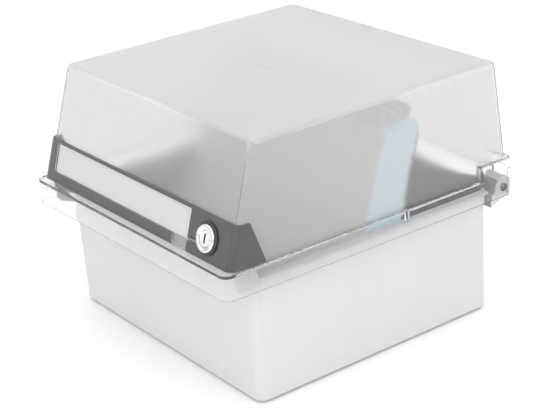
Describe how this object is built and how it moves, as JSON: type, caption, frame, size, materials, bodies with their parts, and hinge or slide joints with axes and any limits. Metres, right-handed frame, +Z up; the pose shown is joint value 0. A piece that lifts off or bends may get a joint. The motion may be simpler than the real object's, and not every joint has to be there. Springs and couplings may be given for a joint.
{
  "type": "lidded card index box",
  "caption": "Desk box for index cards: moulded tray, hinged frosted lid with label holder and cam lock, guide cards leaning on a sliding support plate",
  "frame": {"origin": "on the ground, under the centre of the outline of the closed box", "axes": "+Z up, -Y the front with the label and lock, +Y the hinge side, X along the front, lock at +X"},
  "size_m": [0.25, 0.2616, 0.1934],
  "materials": {
    "tray": "fine moulded texture",
    "feet": "matt",
    "steel": "zinc plated",
    "rail": "satin",
    "lid": "frosted hood with polished ledge and skirt",
    "holder": "satin, finely textured",
    "label": "smooth",
    "window": "clear polished",
    "lock_chrome": "polished",
    "lock_ring": "satin",
    "plate": "satin",
    "card": "translucent satin sheet"
  },
  "bodies": {
    "tray": {"tray_shell": "tray", "tray_feet": "feet", "striker": "steel", "striker_screws": "steel", "index_rail": "rail", "rail_screws": "steel"},
    "lid": {"lid_cover": "lid", "label_holder": "holder", "label_card": "label", "label_window": "window", "holder_clips": "steel", "lock_barrel": "lock_chrome", "lock_ring": "lock_ring", "lock_nut": "steel"},
    "lock_turn": {"lock_plug": "lock_chrome", "lock_cam": "steel", "cam_screw": "steel"},
    "slider": {"support_slider": "rail", "support_pin": "steel", "guide_cards_1": "card", "guide_cards_2": "card", "guide_cards_3": "card", "guide_cards_4": "card", "guide_cards_5": "card", "tab_inserts": "label"},
    "plate": {"support_plate": "plate"}
  },
  "joints": [
    {"name": "lid_hinge", "type": "hinge", "parent": "tray", "child": "lid", "pos_m": [0, 0.1219, 0.0971], "axis": [-1, 0, 0], "range_deg": [0, 110]},
    {"name": "lock_turn", "type": "hinge", "parent": "lid", "child": "lock_turn", "pos_m": [0.093, -0.11782, 0.12296], "axis": [0, 0.9564, -0.2922], "range_deg": [0, 90]},
    {"name": "slider_slide", "type": "slide", "parent": "tray", "child": "slider", "axis": [0, 1, 0], "range_m": [-0.06, 0.03]},
    {"name": "plate_tilt", "type": "hinge", "parent": "slider", "child": "plate", "pos_m": [0, 0.0215, 0.0142], "axis": [-1, 0, 0], "range_deg": [0, 10]}
  ]
}
